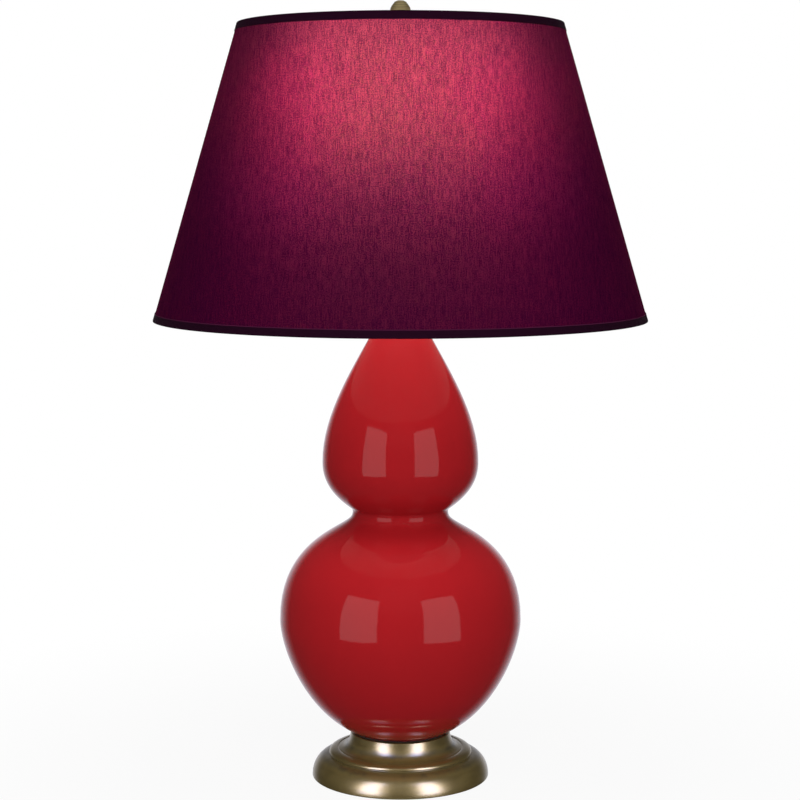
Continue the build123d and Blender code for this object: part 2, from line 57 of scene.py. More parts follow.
# %% [markdown]
# ## Camera
# The photograph was taken from a little above the middle of the lamp, about two metres away,
# with a long lens. A long lens keeps the rims of the shade as shallow curves. The camera is turned
# down instead of shifted, so that it can be moved round the lamp without changing the picture.

# %% Camera
camera_distance = 2.015
camera_height = 0.6125
camera_aside = -0.0004
camera_tilt = 6.334
lens_length = 90.1
sensor_width = 36

camera_data = bpy.data.cameras.new("camera")
camera_data.lens = lens_length
camera_data.sensor_width = sensor_width
camera = bpy.data.objects.new("camera", camera_data)
bpy.context.scene.collection.objects.link(camera)
camera.location = (camera_aside, -camera_distance, camera_height)
camera.rotation_euler = (math.radians(90 - camera_tilt), 0, 0)
bpy.context.scene.camera = camera
bpy.context.scene.view_settings.view_transform = "Standard"
print("camera at", tuple(round(x, 3) for x in camera.location))

# %% [markdown]
# ## Shader arithmetic
# A pattern is easier to read as a sum than as a row of boxes. The small class below wraps one
# output of a node, and adding or multiplying it makes the Math node that does the same. The other
# class stands for a node tree, and its one method adds any other node: the type, then what is
# set on it, then the values or links of its inputs.


# %% Shader arithmetic
class Value:
    """One output of a node. Arithmetic on it adds Math nodes."""

    def __init__(self, tree, socket):
        self.tree, self.socket = tree, socket

    def math(self, operation, *others):
        """A Math node on this value and the others, in that order."""
        inputs = dict(enumerate((self, *others)))
        return self.tree.add("ShaderNodeMath", {"operation": operation}, inputs)[0]

    def __add__(self, other):
        return self.math("ADD", other)

    def __sub__(self, other):
        return self.math("SUBTRACT", other)

    def __rsub__(self, other):
        return self.math("MULTIPLY", -1.0).math("ADD", other)

    def __mul__(self, other):
        return self.math("MULTIPLY", other)

    def __truediv__(self, other):
        return self.math("DIVIDE", other)

    def __pow__(self, other):
        return self.math("POWER", other)

    __radd__, __rmul__ = __add__, __mul__


class Outputs:
    """The outputs of a node, by name or by number."""

    def __init__(self, tree, node):
        self.tree, self.node = tree, node

    def __getitem__(self, key):
        return Value(self.tree, self.node.outputs[key])


class Tree:
    """A node tree that is written as expressions."""

    def __init__(self, node_tree):
        self.nodes, self.links = node_tree.nodes, node_tree.links
        self.nodes.clear()

    def add(self, kind, settings=None, inputs=None):
        node = self.nodes.new(kind)
        for name, setting in (settings or {}).items():
            setattr(node, name, setting)
        for name, value in (inputs or {}).items():
            if isinstance(value, Value):
                self.links.new(value.socket, node.inputs[name])
            else:
                node.inputs[name].default_value = value
        return Outputs(self, node)


# %% [markdown]
# ## Patterns
# Most surfaces share a few patterns: cloudy noise, noise drawn out along one direction, a mask
# between two levels, a mix of two colours and a bump. They read the object's own coordinates in
# metres, and because every piece has its place in its mesh, a pattern stays on the lamp.


# %% Patterns
def own_place(tree):
    return tree.add("ShaderNodeTexCoord")["Object"]


def stretched(tree, place, across):
    """The place divided by the size of the pattern's features along x, y and z, in metres."""
    return tree.add("ShaderNodeVectorMath", {"operation": "DIVIDE"}, {0: place, 1: across})[0]


def cloud(tree, place, detail=2.0, roughness=0.5):
    return tree.add("ShaderNodeTexNoise", None,
                    {"Vector": place, "Scale": 1.0, "Detail": detail, "Roughness": roughness})[0]


def lumps(tree, place, size, detail=2.0, roughness=0.5):
    """A cloud whose lumps have that size in metres, one for all ways or three along x, y and z."""
    across = size if isinstance(size, tuple) else (size, size, size)
    return cloud(tree, stretched(tree, place, across), detail, roughness)


def between(tree, value, low, high):
    """0 below low, 1 above high and a smooth step between."""
    return tree.add("ShaderNodeMapRange", {"interpolation_type": "SMOOTHSTEP"},
                    {"Value": value, "From Min": low, "From Max": high})[0]


def mixed(tree, share, first, second):
    return tree.add("ShaderNodeMix", {"data_type": "RGBA"}, {0: share, 6: first, 7: second})[2]


def bumped(tree, height, distance, strength=1.0):
    return tree.add("ShaderNodeBump", None,
                    {"Height": height, "Distance": distance, "Strength": strength})["Normal"]


def ring_at(tree, value, middle, half):
    """A soft ring of 1 where value is at middle, gone at half away on both sides."""
    away = (value - middle).math("ABSOLUTE")
    return 1 - between(tree, away, 0.0, half)


def round_place(tree, place):
    """Distance from the lamp's axis, and height."""
    split = tree.add("ShaderNodeSeparateXYZ", None, {"Vector": place})
    radius = (split["X"] * split["X"] + split["Y"] * split["Y"]) ** 0.5
    return radius, split["Z"]


def colour(red, green, blue):
    """A colour as it is read on a screen, from 0 to 255, made linear."""
    return (*[((c / 255 + 0.055) / 1.055) ** 2.4 if c > 10 else c / 255 / 12.92
              for c in (red, green, blue)], 1)


finishes = {}


def finish(name):
    """A new material for one slot of the record, and its node tree."""
    material = bpy.data.materials.new(name)
    material.use_nodes = True
    finishes[name] = material
    return Tree(material.node_tree)


def surface(tree, inputs):
    """Ends the tree with a Principled shader that gets these inputs."""
    shader = tree.add("ShaderNodeBsdfPrincipled", None, inputs)
    tree.add("ShaderNodeOutputMaterial", None, {"Surface": shader["BSDF"]})


# %% [markdown]
# ## Room
# The lamp was photographed in front of white paper with two tall softboxes, one on each side of
# the camera. Their panes show in the glaze as two pale squares on each gourd, so they have to
# stand at the same angles here. White behind the lamp gives the pale rims, and the dark part of
# the room around the camera keeps the rest of the glaze deep red. The white is narrower high up and
# wider near the floor, as paper is that hangs behind an object and runs out under it. Only glossy
# surfaces see this room. The camera sees plain white, and everything else gets an even dim light.

# %% World
paper_narrows, paper_widens = 0.5, 0.15
paper_edge = (0.66, 1.06)
dark_room = (0.045, 0.045, 0.045, 1)
white_paper = (0.88, 0.89, 0.97, 1)
dim_light = (0.20, 0.20, 0.20, 1)

world = bpy.data.worlds.new("room")
world.use_nodes = True
bpy.context.scene.world = world
room = Tree(world.node_tree)
direction = room.add("ShaderNodeTexCoord")["Generated"]
way = room.add("ShaderNodeSeparateXYZ", None, {"Vector": direction})
rays = room.add("ShaderNodeLightPath")
rising = (way["Z"].math("MAXIMUM", 0.0) * paper_narrows
          + way["Z"].math("MINIMUM", 0.0) * paper_widens)
behind = between(room, way["Y"] - rising, *paper_edge)
room_seen = mixed(room, behind, dark_room, white_paper)
plain = mixed(room, rays["Is Glossy Ray"], dim_light, room_seen)
seen_white = (rays["Is Camera Ray"] + rays["Is Transmission Ray"]).math("MINIMUM", 1.0)
room_colour = mixed(room, seen_white, plain, (1, 1, 1, 1))
backdrop = room.add("ShaderNodeBackground", None, {"Color": room_colour})
room.add("ShaderNodeOutputWorld", None, {"Surface": backdrop[0]})
print("room with", len(world.node_tree.nodes), "nodes")

# %% [markdown]
# ## Floor
# The floor is a wide pale sheet. Most of its brightness towards the camera comes from its own
# material, so it is as white as the backdrop, and the rest is lit, so it keeps the lamp's shadow.
# The lit share fades out with the distance from the lamp. The floor lies a hair below the felt.

# %% Floor
floor_size = 12.0
floor_drop = 0.0002
floor_glow = 0.93
floor_fade = (0.15, 0.80)

bpy.ops.object.select_all(action="DESELECT")
bpy.ops.mesh.primitive_plane_add(size=floor_size, location=(0, 0, -floor_drop))
floor = bpy.context.object
floor.name = "floor"
floor_tree = finish("floor_paper")
floor_rays = floor_tree.add("ShaderNodeLightPath")
grain = lumps(floor_tree, own_place(floor_tree), 0.4)
paper = mixed(floor_tree, grain, (0.52, 0.52, 0.52, 1), (0.56, 0.56, 0.56, 1))
matte = floor_tree.add("ShaderNodeBsdfDiffuse", None, {"Color": paper})
glow = floor_tree.add("ShaderNodeEmission", None, {"Color": (1, 1, 1, 1), "Strength": 1.0})
seen = floor_rays["Is Camera Ray"] + floor_rays["Is Transmission Ray"]
from_lamp, _ = round_place(floor_tree, own_place(floor_tree))
share_of_glow = between(floor_tree, from_lamp, *floor_fade) * (1 - floor_glow) + floor_glow
floor_mix = floor_tree.add("ShaderNodeMixShader", None,
                           {0: seen * share_of_glow, 1: matte[0], 2: glow[0]})
floor_tree.add("ShaderNodeOutputMaterial", None, {"Surface": floor_mix[0]})
floor.data.materials.append(finishes["floor_paper"])
floor.visible_glossy = False
floor.visible_shadow = False
print("floor of", floor_size, "m")

# %% [markdown]
# ## Studio lamps
# Two area lamps are the softboxes. Three wider and weaker ones fill in from the front, from above
# and from behind and are hidden from reflections, because a real fill of that size would be far
# away. Brass shows a lamp far brighter than glaze does, so two more lamps, the sparks, stand just
# before the softboxes, taller and brighter, and light the foot alone. A pale one under the bulb
# stands for the light that falls out of the shade on the gourd. Light linking says what each of
# these special lamps may light: a collection that the piece joins when it is made.


# %% Studio lamps
def area_lamp(name, place, target, width, height, power, shiny=True):
    data = bpy.data.lights.new(name, "AREA")
    data.shape, data.size, data.size_y, data.energy = "RECTANGLE", width, height, power
    lamp = bpy.data.objects.new(name, data)
    bpy.context.scene.collection.objects.link(lamp)
    lamp.location = place
    lamp.rotation_euler = (Vector(target) - Vector(place)).to_track_quat("-Z", "Y").to_euler()
    lamp.visible_camera = False
    lamp.visible_glossy = shiny
    return lamp


def power_for(radiance, width, height):
    """The power in watts of an area lamp that looks as bright as radiance."""
    return radiance * math.pi * width * height


softbox_turn = 38.5
softbox_away = 1.5
softbox_size = (0.95, 1.19)
softbox_height = 0.455
softbox_radiance = 1.15
spark_nearer = 0.97
spark_size = (0.66, 1.9)
spark_height = 0.80
spark_radiance = 6.5
spark_colour = (1, 1.05, 1.8)
# Name, place, what it points at, width, height and radiance.
fills = (("fill_front", (0, -2.9, 1.9), (0, 0, 0.4), 2.4, 1.8, 2.9),
         ("fill_above", (0, -1.7, 2.8), (0, 0, 0.3), 2.2, 2.2, 1.5),
         ("fill_back", (0, 2.9, 1.3), (0, 0, 0.35), 1.8, 1.6, 3.0),
         ("from_shade", (0, 0, 0.62), (0, 0, 0), 0.34, 0.34, 4.4))

brass_only = bpy.data.collections.new("lit_brass")
gourd_only = bpy.data.collections.new("lit_gourd")
aside = softbox_away * math.sin(math.radians(softbox_turn))
before = -softbox_away * math.cos(math.radians(softbox_turn))
for side, name in ((-1, "left"), (1, "right")):
    area_lamp("softbox_" + name, (side * aside, before, softbox_height),
              (0, 0, softbox_height), *softbox_size, power_for(softbox_radiance, *softbox_size))
    spark = area_lamp("spark_" + name,
                      (spark_nearer * side * aside, spark_nearer * before, spark_height),
                      (0, 0, spark_height), *spark_size, power_for(spark_radiance, *spark_size))
    spark.light_linking.receiver_collection = brass_only
    spark.data.color = spark_colour
for name, place, target, width, height, radiance in fills:
    lamp = area_lamp(name, place, target, width, height, power_for(radiance, width, height), False)
    if name == "from_shade":
        lamp.light_linking.receiver_collection = gourd_only
print(len(bpy.data.lights), "studio lamps")

# %% [markdown]
# ## Light through the shade
# The bright patch on a lit shade is the light that comes nearly straight through the cloth from the
# bulb and the white card around it, so it follows whoever looks, and it fades fast to the sides.
# Rings of small soft lamps inside the shade stand for that bright middle, so the patch is the same
# from all round. Where the light is strong it is more orange, and where it is weak more purple,
# so a narrow ring is greener and a low one bluer. The lamps light the cloth alone, and only the
# floor may shade it from them, so the wires of the frame leave no lines.

# %% Light through the shade
# Height and radius of a ring in metres, share of the power for each lamp, and tint.
glow_rings = ((0.760, 0.078, 0.0343, (0.93, 0.82, 1.00)),
              (0.700, 0.105, 0.0370, (1.00, 0.27, 0.93)),
              (0.700, 0.050, 0.0200, (0.20, 1.00, 0.20)),
              (0.650, 0.120, 0.0128, (1.00, 0.23, 0.72)),
              (0.650, 0.060, 0.0145, (0.72, 1.00, 0.88)),
              (0.600, 0.130, 0.0130, (0.61, 0.17, 1.00)))
glow_ring_lamps = 10
glow_lamp_radius = 0.045
glow_power = 5.3

cloth_only = bpy.data.collections.new("lit_cloth")
unshaded = bpy.data.collections.new("shades_the_cloth")
unshaded.objects.link(floor)


def glow_lamp(name, place, share, tint):
    """A small ball of light that only the cloth gets, sampled as a lamp and never by chance."""
    data = bpy.data.lights.new(name, "POINT")
    data.energy, data.shadow_soft_size, data.color = share * glow_power, glow_lamp_radius, tint
    data.cycles.use_multiple_importance_sampling = False
    lamp = bpy.data.objects.new(name, data)
    bpy.context.scene.collection.objects.link(lamp)
    lamp.location = place
    lamp.visible_camera = lamp.visible_glossy = False
    lamp.light_linking.receiver_collection = cloth_only
    lamp.light_linking.blocker_collection = unshaded


for height, radius, share, tint in glow_rings:
    for count in range(glow_ring_lamps):
        turn = 2 * math.pi * count / glow_ring_lamps
        glow_lamp(f"glow_{height:.2f}_{radius:.3f}_{count}",
                  (radius * math.sin(turn), -radius * math.cos(turn), height), share, tint)
print(len(glow_rings) * glow_ring_lamps, "lamps inside the shade")

# %% [markdown]
# ## Plum cloth
# The cover is a thin slubby cloth glued on a stiff card. Its threads are a little uneven, so it is
# streaked along the warp, and where it is lit from inside the thin places shine brighter. Plain
# dyed cloth is mixed with a shader that lets light through the way round threads do, mostly
# straight on. The share of light that comes through follows the threads. Where the ends of the
# cloth overlap at the back it lies double, so less light comes through, least along the edges,
# and a thin painted shadow line darkens the cloth along the edge of the overlap.


# %% Plum cloth
def cloth_place(tree, width, length):
    """The place on the flat cut of a cloth, divided by the size of its features."""
    flat = tree.add("ShaderNodeUVMap", {"uv_map": "cloth"})["UV"]
    return stretched(tree, flat, (width, length, 1))


def ridges(tree, direction, scale, distortion):
    """Fine ridges that follow each other along X or Y of the flat cut."""
    return tree.add("ShaderNodeTexWave", {"wave_type": "BANDS", "bands_direction": direction},
                    {"Vector": cloth_place(tree, 1.0 * mm, 1.0 * mm), "Scale": scale,
                     "Distortion": distortion})[1]


lap_width = 12 * mm
middle_radius = 0.205
lap_turn = lap_width / middle_radius
lap_fades_from, lap_fades_to, shadow_line_half = 0.003, 0.001, 0.005

plum = finish("plum_fabric")
slubs = cloud(plum, cloth_place(plum, 0.95 * mm, 12 * mm), detail=3, roughness=0.6)
wide_slubs = cloud(plum, cloth_place(plum, 5 * mm, 60 * mm))
picks = cloud(plum, cloth_place(plum, 1.1 * mm, 1.2 * mm), detail=1)
mottle = cloud(plum, cloth_place(plum, 45 * mm, 60 * mm))
thread = slubs * 0.45 + wide_slubs * 0.10 + picks * 0.45
dyed = mixed(plum, between(plum, thread, 0.36, 0.64), colour(50, 2, 36), colour(55, 3, 43))
dyed = mixed(plum, mottle * 0.6, dyed, colour(52, 2, 37))
through = between(plum, thread, 0.39, 0.61) * 0.31 + mottle * 0.04 + 0.01
plum_split = plum.add("ShaderNodeSeparateXYZ", None, {"Vector": own_place(plum)})
from_lap = (plum_split["X"] / plum_split["Y"] + lap_turn / 2).math("ABSOLUTE")
at_back = plum_split["Y"].math("GREATER_THAN", 0.0)
single = between(plum, from_lap, lap_turn / 2 - lap_fades_from, lap_turn / 2 + lap_fades_to)
doubled = (1 - single) * at_back
# Painted shadow line along the edge of the overlap: less light comes through there, and the cloth's
# colour is darkened.
lap_shadow_line = ring_at(plum, from_lap, lap_turn / 2, shadow_line_half) * at_back
through = through * (1 - doubled * 0.45) * (1 - lap_shadow_line * 0.6)
dyed = mixed(plum, lap_shadow_line * 0.8, dyed, colour(22, 0, 15))
weave = ridges(plum, "Y", 0.35, 0.6)
cloth_bump = bumped(plum, thread + weave * 0.15, 0.12 * mm)
cloth = plum.add("ShaderNodeBsdfPrincipled", None,
                 {"Base Color": dyed, "Roughness": 0.85, "Normal": cloth_bump,
                  "Sheen Weight": 0.005, "Sheen Roughness": 0.5,
                  "Sheen Tint": (0.8, 0.1, 0.5, 1), "Specular IOR Level": 0.0})
threads = plum.add("ShaderNodeBsdfHair", {"component": "Transmission"},
                   {"Color": (0.31, 0.043, 0.059, 1), "RoughnessU": 0.08, "RoughnessV": 0.15})
plum_mix = plum.add("ShaderNodeMixShader", None, {0: through, 1: cloth["BSDF"], 2: threads[0]})
plum.add("ShaderNodeOutputMaterial", None, {"Surface": plum_mix[0]})

# %% [markdown]
# ## Tape and backing
# The edges are bound with a narrow ribbed tape in a darker plum, folded over the rim and glued. On
# the hem a thin paler line is painted along the tape's edge, a painted highlight where that edge
# catches the light. The backing is a pale plastic card with a faint, even grain that spreads the
# light of the bulb.

# %% Tape and backing
# Where the painted highlight on the hem tape lies, measured from the fold, and its half width.
highlight_from_fold, highlight_half = 7.7 * mm, 0.8 * mm
between_tapes = (0.55, 0.65)

tape = finish("dark_tape")
ribs = ridges(tape, "X", 0.45, 1.2)
tape_wear = cloud(tape, cloth_place(tape, 9 * mm, 2 * mm), detail=3)
along = tape.add("ShaderNodeSeparateXYZ", None, {"Vector": cloth_place(tape, 1.0, 1.0)})["Y"]
tape_height = round_place(tape, own_place(tape))[1]
on_hem = 1 - between(tape, tape_height, *between_tapes)
# Painted highlight: a paler line along the edge of the hem tape only.
edge_highlight = ring_at(tape, along, highlight_from_fold, highlight_half) * on_hem
tape_colour = mixed(tape, tape_wear, colour(26, 5, 20), colour(34, 9, 28))
tape_colour = mixed(tape, ribs * 0.3, tape_colour, colour(44, 12, 33))
tape_colour = mixed(tape, edge_highlight * 0.8, tape_colour, colour(90, 30, 64))
surface(tape, {"Base Color": tape_colour, "Roughness": 0.7,
               "Normal": bumped(tape, ribs + tape_wear * 0.5, 0.12 * mm),
               "Specular IOR Level": 0.02, "Sheen Weight": 0.01, "Sheen Roughness": 0.4,
               "Sheen Tint": (0.9, 0.4, 0.6, 1)})

liner = finish("pale_liner")
card_grain = lumps(liner, own_place(liner), (1.2 * mm, 1.2 * mm, 2 * mm), detail=3)
card_cloud = lumps(liner, own_place(liner), 0.08)
card_colour = mixed(liner, card_grain, (0.80, 0.76, 0.70, 1), (0.88, 0.85, 0.80, 1))
card_colour = mixed(liner, card_cloud * 0.3, card_colour, (0.74, 0.69, 0.62, 1))
surface(liner, {"Base Color": card_colour, "Roughness": card_grain * 0.2 + 0.45,
                "Normal": bumped(liner, card_grain, 0.05 * mm)})

# %% [markdown]
# ## Red glaze
# A thick glossy glaze over earthenware. It runs a little while it melts, so its red is a little
# uneven. It is a little darker in the waist, and darker still just above the foot, which is a
# painted shade where the foot meets the gourd. Its skin is not quite flat, which is why the edges
# of the reflections waver. A few pinholes show close to.

# %% Red glaze
gourd_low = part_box("gourd_body")[0].z
waist_height = 227.7
waist_at = gourd_low + waist_height * mm

glaze = finish("red_glaze")
glaze_place = own_place(glaze)
glaze_height = round_place(glaze, glaze_place)[1]
runs = lumps(glaze, glaze_place, (22 * mm, 22 * mm, 90 * mm), detail=3)
drift = lumps(glaze, glaze_place, 70 * mm)
# A little darker in the waist, and painted shade just above the foot where it meets the gourd.
waist_dark_and_foot_shade = (ring_at(glaze, glaze_height, waist_at, 16 * mm) * 0.15
          + (1 - between(glaze, glaze_height, gourd_low, gourd_low + 14 * mm)) * 0.5)
glaze_red = mixed(glaze, runs * 0.6 + drift * 0.4, colour(174, 27, 33), colour(163, 27, 33))
glaze_red = mixed(glaze, waist_dark_and_foot_shade * 0.45, glaze_red, colour(122, 14, 20))
hole_cells = stretched(glaze, glaze_place, (14 * mm, 14 * mm, 14 * mm))
holes = glaze.add("ShaderNodeTexVoronoi", {"feature": "F1"},
                  {"Vector": hole_cells, "Scale": 1.0})[0]
pinholes = 1 - between(glaze, holes, 0.018, 0.035)
glaze_red = mixed(glaze, pinholes * 0.5, glaze_red, colour(96, 10, 14))
ripple = lumps(glaze, glaze_place, (26 * mm, 26 * mm, 20 * mm), detail=1)
peel = lumps(glaze, glaze_place, 2.2 * mm, detail=1)
glaze_skin = bumped(glaze, ripple * 0.9 + peel * 0.012 - pinholes * 0.12, 0.22 * mm)
surface(glaze, {"Base Color": glaze_red, "Roughness": peel * 0.03 + 0.045,
                "IOR": 1.42, "Normal": glaze_skin})


# %% [markdown]
# ## Brass
# The foot and the finial are satin brass, darkened and lacquered. A lathe leaves fine rings in it,
# the polish takes the dark off the edges, and brown stays in the grooves. The finial is paler,
# because it is the piece that hands touch. A dull skin on both, the tarnish, makes them a little
# less metallic all over. The harp, the socket and the frame of the shade are bright brass with less
# age. Drawn wire has its fine lines along its length, where turned pieces have rings.


# %% Brass
def brass(name, light, dark, age, roughness, grooves=(), edges=(), rings=True,
          tarnish=0.0, lacquer=0.2):
    """A turned or drawn brass, light where it is clean and dark where it has aged.

    Grooves and edges are (height, half width) in metres, and lacquer is its coat's roughness.
    """
    tree = finish(name)
    place = own_place(tree)
    radius, height = round_place(tree, place)
    joined = tree.add("ShaderNodeCombineXYZ", None,
                      {"X": radius / (0.5 * mm), "Y": height / (0.5 * mm)})[0]
    lines = cloud(tree, joined if rings else stretched(tree, place, (0.5 * mm, 0.5 * mm, 6 * mm)),
                  detail=3, roughness=0.65)
    blotch = lumps(tree, place, (14 * mm, 14 * mm, 9 * mm), detail=4, roughness=0.6)
    speck = lumps(tree, place, 1.1 * mm)
    brown = between(tree, blotch, 0.40, 0.75) * age + between(tree, speck, 0.60, 0.80) * age * 0.6
    for middle, half in grooves:
        brown = brown + ring_at(tree, height, middle, half) * 0.75
    for middle, half in edges:
        brown = brown - ring_at(tree, height, middle, half) * 0.35
    brown = brown.math("MINIMUM", 1.0).math("MAXIMUM", 0.0)
    metal = mixed(tree, brown, light, dark)
    rough = lines * 0.10 + brown * 0.10 + (roughness - 0.05)
    surface(tree, {"Base Color": metal, "Roughness": rough,
                   "Metallic": (1.0 - tarnish) - brown * 0.45,
                   "Normal": bumped(tree, lines + blotch * 0.3, 0.012 * mm),
                   "Coat Weight": 0.6, "Coat IOR": 1.9, "Coat Roughness": lacquer})


foot_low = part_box("foot")[0].z
brass("antique_brass", (0.235, 0.166, 0.036, 1), (0.050, 0.038, 0.009, 1), 0.35, 0.29,
      tarnish=0.15, lacquer=0.24,
      grooves=[(foot_low + 20.9 * mm, 5.0 * mm), (foot_low + 33.0 * mm, 5.5 * mm)],
      edges=[(foot_low + 26.2 * mm, 1.8 * mm), (foot_low + 1.5 * mm, 2.0 * mm)])
finial_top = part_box("finial")[1].z
finial_rings, ring_rise, lowest_groove = 5, 1.75, 8.0
brass("handled_brass", (0.52, 0.42, 0.19, 1), (0.15, 0.11, 0.05, 1), 0.35, 0.32, tarnish=0.4,
      grooves=[(finial_top + (ring_rise * count - lowest_groove) * mm, 0.6 * mm)
               for count in range(finial_rings)])
brass("harp_brass", (0.78, 0.58, 0.28, 1), (0.36, 0.24, 0.09, 1), 0.25, 0.22, rings=False)
brass("socket_brass", (0.80, 0.62, 0.32, 1), (0.40, 0.28, 0.12, 1), 0.2, 0.24)
brass("frame_brass", (0.72, 0.55, 0.28, 1), (0.34, 0.23, 0.10, 1), 0.3, 0.30, rings=False)
brass("screw_metal", (0.62, 0.60, 0.55, 1), (0.30, 0.27, 0.22, 1), 0.3, 0.28)
brass("plated_steel", (0.58, 0.58, 0.57, 1), (0.26, 0.24, 0.21, 1), 0.35, 0.32)
brass("filament_wire", (0.34, 0.33, 0.32, 1), (0.12, 0.11, 0.10, 1), 0.3, 0.4, rings=False)


# %% [markdown]
# ## Felt, card, plastic and glass
# Felt is pressed wool, so it is a tangle of short hairs in two close shades. The paper tube in the
# socket is grey board with fibres in it. The knob is moulded plastic with a dull skin. The bulb is
# frosted from inside and is the lamp's own light, brightest in the widest part of the glass.


# %% Felt, card, plastic and glass
def wool(name, light, dark):
    tree = finish(name)
    place = own_place(tree)
    hairs = lumps(tree, place, 0.9 * mm, detail=5, roughness=0.75)
    tufts = lumps(tree, place, 7 * mm)
    surface(tree, {"Base Color": mixed(tree, hairs * 0.7 + tufts * 0.3, dark, light),
                   "Roughness": 0.95, "Normal": bumped(tree, hairs, 0.5 * mm),
                   "Sheen Weight": 0.3, "Sheen Roughness": 0.6,
                   "Specular IOR Level": 0.1})


wool("felt", (0.085, 0.055, 0.035, 1), (0.030, 0.018, 0.012, 1))
wool("dark_felt", (0.030, 0.026, 0.024, 1), (0.010, 0.009, 0.008, 1))

board = finish("liner_card")
board_place = own_place(board)
fibres = lumps(board, board_place, (0.5 * mm, 0.5 * mm, 3 * mm), detail=4, roughness=0.7)
board_colour = mixed(board, fibres, (0.22, 0.19, 0.15, 1), (0.38, 0.34, 0.28, 1))
surface(board, {"Base Color": board_colour, "Roughness": 0.9,
                "Normal": bumped(board, fibres, 0.1 * mm)})

plastic = finish("black_plastic")
plastic_place = own_place(plastic)
skin = lumps(plastic, plastic_place, 0.6 * mm)
handled = lumps(plastic, plastic_place, 9 * mm, detail=3)
plastic_colour = mixed(plastic, handled, (0.012, 0.011, 0.010, 1), (0.026, 0.024, 0.022, 1))
surface(plastic, {"Base Color": plastic_colour, "Roughness": handled * 0.25 + 0.25,
                  "Normal": bumped(plastic, skin, 0.02 * mm)})

hot_half = 0.055

frosted = finish("frosted_glass")
frost_place = own_place(frosted)
frost_height = round_place(frosted, frost_place)[1]
frost = lumps(frosted, frost_place, 0.8 * mm)
bulb_low, bulb_high = (corner.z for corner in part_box("bulb_glass"))
bulb_middle = 0.3 * bulb_low + 0.7 * bulb_high
hot = ring_at(frosted, frost_height, bulb_middle, hot_half)
bulb_light = mixed(frosted, hot, (0.40, 0.25, 0.12, 1), (1.0, 0.84, 0.60, 1))
bulb_skin = mixed(frosted, frost, (0.78, 0.78, 0.76, 1), (0.9, 0.9, 0.88, 1))
surface(frosted, {"Base Color": bulb_skin, "Roughness": frost * 0.2 + 0.3,
                  "Normal": bumped(frosted, frost, 0.03 * mm),
                  "Emission Color": bulb_light, "Emission Strength": 1.2})

clear = finish("clear_glass")
clear_place = own_place(clear)
seed = lumps(clear, clear_place, (2 * mm, 2 * mm, 4 * mm))
stem_glass = mixed(clear, seed, (0.90, 0.94, 0.93, 1), (0.97, 0.99, 0.98, 1))
surface(clear, {"Base Color": stem_glass,
                "Roughness": seed * 0.04 + 0.02, "Transmission Weight": 1.0,
                "Normal": bumped(clear, seed, 0.05 * mm)})
print(len(finishes), "finishes")

# %% [markdown]
# ## Turned pieces
# The gourd, the foot and the finial are round, so each starts as a Bezier curve that is its
# outline, becomes a mesh, and is spun round the axis. Every point of an outline is a radius and a
# height in millimetres with its two handles, and on a side without a handle the line runs straight.
# An operator acts on all that is selected, so everything is deselected before a primitive is added.


# %% Turned pieces
def alone(piece):
    """Selects this piece and nothing else."""
    bpy.ops.object.select_all(action="DESELECT")
    piece.select_set(True)
    bpy.context.view_layer.objects.active = piece


def edit(piece):
    alone(piece)
    bpy.ops.object.mode_set(mode="EDIT")
    bpy.ops.mesh.select_all(action="SELECT")


def object_mode():
    bpy.ops.object.mode_set(mode="OBJECT")


def outline(name, stations, closed, fineness):
    """A mesh line through the stations, each (radius, height, handle before, handle after)."""
    bpy.ops.object.select_all(action="DESELECT")
    bpy.ops.curve.primitive_bezier_curve_add(location=(0, 0, 0))
    curve = bpy.context.object
    curve.name = name
    curve.data.dimensions = "3D"
    curve.data.resolution_u = fineness
    spline = curve.data.splines[0]
    spline.bezier_points.add(len(stations) - 2)
    spline.use_cyclic_u = closed
    for point, (radius, height, before, after) in zip(spline.bezier_points, stations):
        point.handle_left_type = "VECTOR" if before is None else "FREE"
        point.handle_right_type = "VECTOR" if after is None else "FREE"
        point.co = (radius * mm, 0, height * mm)
        if before is not None:
            point.handle_left = (before[0] * mm, 0, before[1] * mm)
        if after is not None:
            point.handle_right = (after[0] * mm, 0, after[1] * mm)
    bpy.ops.object.convert(target="MESH")
    return bpy.context.object


def spun(piece, steps):
    """Spins the line round the axis and closes it."""
    edit(piece)
    bpy.ops.mesh.spin(steps=steps, angle=2 * math.pi, center=(0, 0, 0), axis=(0, 0, 1))
    bpy.ops.mesh.select_all(action="SELECT")
    bpy.ops.mesh.remove_doubles(threshold=0.02 * mm)
    bpy.ops.mesh.normals_make_consistent(inside=False)
    object_mode()


def soften(piece, width, sharpness=30, segments=2):
    """Bevels the edges that are sharper than the angle."""
    edit(piece)
    bpy.ops.mesh.select_all(action="DESELECT")
    bpy.ops.mesh.select_mode(type="EDGE")
    bpy.ops.mesh.edges_select_sharp(sharpness=math.radians(sharpness))
    bpy.ops.mesh.bevel(offset=width, segments=segments, affect="EDGES", profile=0.5,
                       clamp_overlap=True)
    object_mode()


def smooth(piece, angle=35):
    alone(piece)
    bpy.ops.object.shade_smooth_by_angle(angle=math.radians(angle))


def done(piece, node, body, slot, look=None):
    """Gives the piece its finish and its body, and lets it stand for the CAD node."""
    piece.data.materials.clear()
    piece.data.materials.append(finishes[look or slot])
    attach(piece, body)
    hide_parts(node)
    low, high = (Vector(f(c[i] for c in piece.bound_box) for i in range(3)) for f in (min, max))
    print(f"{piece.name}: {len(piece.data.polygons)} faces, "
          f"{low.z / mm:.1f} to {high.z / mm:.1f} mm high, radius {high.x / mm:.1f} mm")


# %% [markdown]
# ## Gourd
# The body is one thrown pot. Its outline is pulled through five rings: the base, the belly, the
# waist, the head and the mouth. The waist is a tight inward fold between two rounder arcs, so it
# gets handles as long as a circle of its own radius needs. A Solidify modifier gives it its wall.

